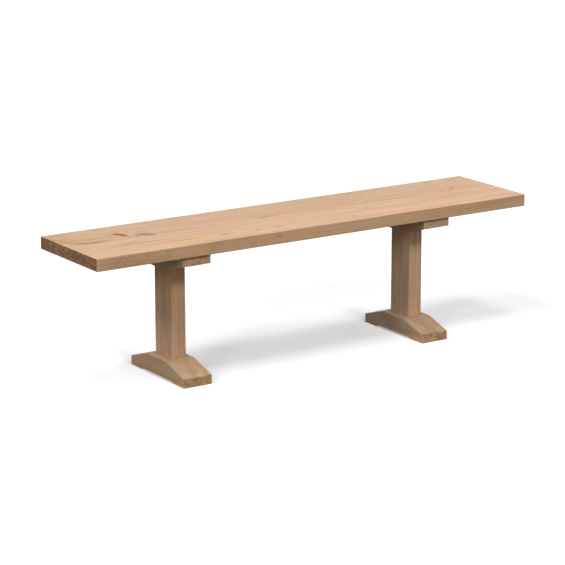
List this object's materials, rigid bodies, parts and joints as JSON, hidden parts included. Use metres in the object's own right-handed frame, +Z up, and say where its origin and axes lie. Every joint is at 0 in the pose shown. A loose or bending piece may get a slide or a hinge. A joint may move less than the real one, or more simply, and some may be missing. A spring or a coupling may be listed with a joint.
{
  "type": "trestle bench",
  "caption": "Backless bench: a thick plank seat on trestles, each a flat post tenoned between a tapered foot and a matching cleat.",
  "frame": {"origin": "on the floor, under the middle of the seat", "axes": "+X along the seat to the right, +Y from the front edge to the back edge, +Z up"},
  "size_m": [1.6, 0.35, 0.45],
  "materials": {
    "oak_seat": "satin oiled oak, grain along the seat",
    "oak_frame": "satin oiled oak, grain along each piece",
    "oak_wedge": "sawn oak end grain",
    "beech": "plain beech dowel",
    "zinc_steel": "zinc plated",
    "insert_brass": "plain turned brass"
  },
  "bodies": {
    "root": {"seat_stave_1": "oak_seat", "seat_stave_2": "oak_seat", "seat_stave_3": "oak_seat", "seat_stave_4": "oak_seat", "seat_dowels_1": "beech", "seat_dowels_2": "beech", "seat_dowels_3": "beech", "left_foot": "oak_frame", "right_foot": "oak_frame", "left_cleat": "oak_frame", "right_cleat": "oak_frame", "left_post": "oak_frame", "right_post": "oak_frame", "left_foot_wedges": "oak_wedge", "right_foot_wedges": "oak_wedge", "left_cleat_wedges": "oak_wedge", "right_cleat_wedges": "oak_wedge", "left_bolts": "zinc_steel", "right_bolts": "zinc_steel", "left_washers": "zinc_steel", "right_washers": "zinc_steel", "left_inserts": "insert_brass", "right_inserts": "insert_brass"}
  },
  "joints": []
}
